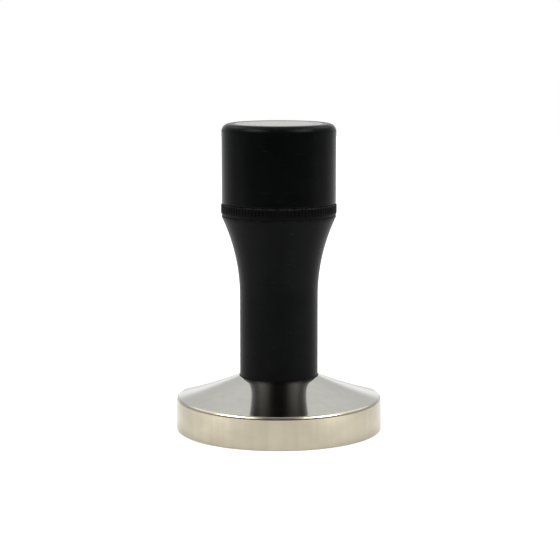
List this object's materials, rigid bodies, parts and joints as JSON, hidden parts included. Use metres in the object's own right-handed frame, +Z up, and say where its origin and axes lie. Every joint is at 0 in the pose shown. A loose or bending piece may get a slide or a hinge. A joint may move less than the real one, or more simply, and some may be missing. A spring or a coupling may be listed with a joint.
{
  "type": "espresso tamper",
  "caption": "Spring-loaded espresso tamper: flat steel foot, flared black handle, screw cap that sets the spring's preload, and a knurled lock ring.",
  "frame": {"origin": "centre of the flat tamping face", "axes": "+Z up along the tamper's axis, from the tamping face to the cap"},
  "size_m": [0.058, 0.058, 0.0864],
  "materials": {
    "foot_steel": "mirror-polished cone, fine-turned side",
    "handle_black": "satin black anodised",
    "cap_black": "satin black anodised",
    "ring_black": "knurled, satin black anodised",
    "badge_silver": "turned silver",
    "fastener_steel": "zinc-plated",
    "rod_steel": "ground",
    "plate_steel": "turned",
    "spring_steel": "drawn wire, oiled",
    "ball_steel": "polished",
    "bush_bronze": "sintered bronze",
    "insert_brass": "turned brass",
    "rubber_black": "matte",
    "adhesive_clear": "clear adhesive film"
  },
  "bodies": {
    "base": {"tamper_base": "foot_steel", "base_stud": "fastener_steel", "push_rod": "rod_steel", "piston_plate": "plate_steel", "rod_washer": "fastener_steel", "rod_nut": "fastener_steel", "main_spring": "spring_steel"},
    "handle": {"handle_body": "handle_black", "lower_bush": "bush_bronze", "upper_bush": "bush_bronze", "guide_pins": "rod_steel", "bumper_washer": "rubber_black", "socket_oring": "rubber_black"},
    "thrust": {"thrust_plate": "plate_steel", "pivot_ball": "ball_steel"},
    "cap": {"cap_shell": "cap_black", "cap_thread_insert": "insert_brass", "calibration_screw": "fastener_steel", "badge_adhesive": "adhesive_clear", "badge": "badge_silver"},
    "lock_ring": {"lock_ring": "ring_black"}
  },
  "joints": [
    {"name": "handle_press", "type": "slide", "parent": "base", "child": "handle", "axis": [0, 0, 1], "range_m": [-0.0015, 0], "stiffness_N_per_m": 21400, "springref_m": 0.00935, "deforming": ["main_spring"]},
    {"name": "adjuster_lift", "type": "slide", "parent": "handle", "child": "thrust", "axis": [0, 0, 1], "range_m": [0, 0.003], "deforming": ["main_spring"]},
    {"name": "cap_turn", "type": "hinge", "parent": "thrust", "child": "cap", "pos_m": [0, 0, 0.07], "axis": [0, 0, 1], "range_deg": [0, 720.1]},
    {"name": "ring_turn", "type": "hinge", "parent": "thrust", "child": "lock_ring", "pos_m": [0, 0, 0.0625], "axis": [0, 0, 1], "range_deg": [0, 720.1]}
  ],
  "couplings": [
    {"joint": "cap_turn", "follows": "adjuster_lift", "rad_per_m": 4188.8},
    {"joint": "ring_turn", "follows": "adjuster_lift", "rad_per_m": 4188.8}
  ]
}
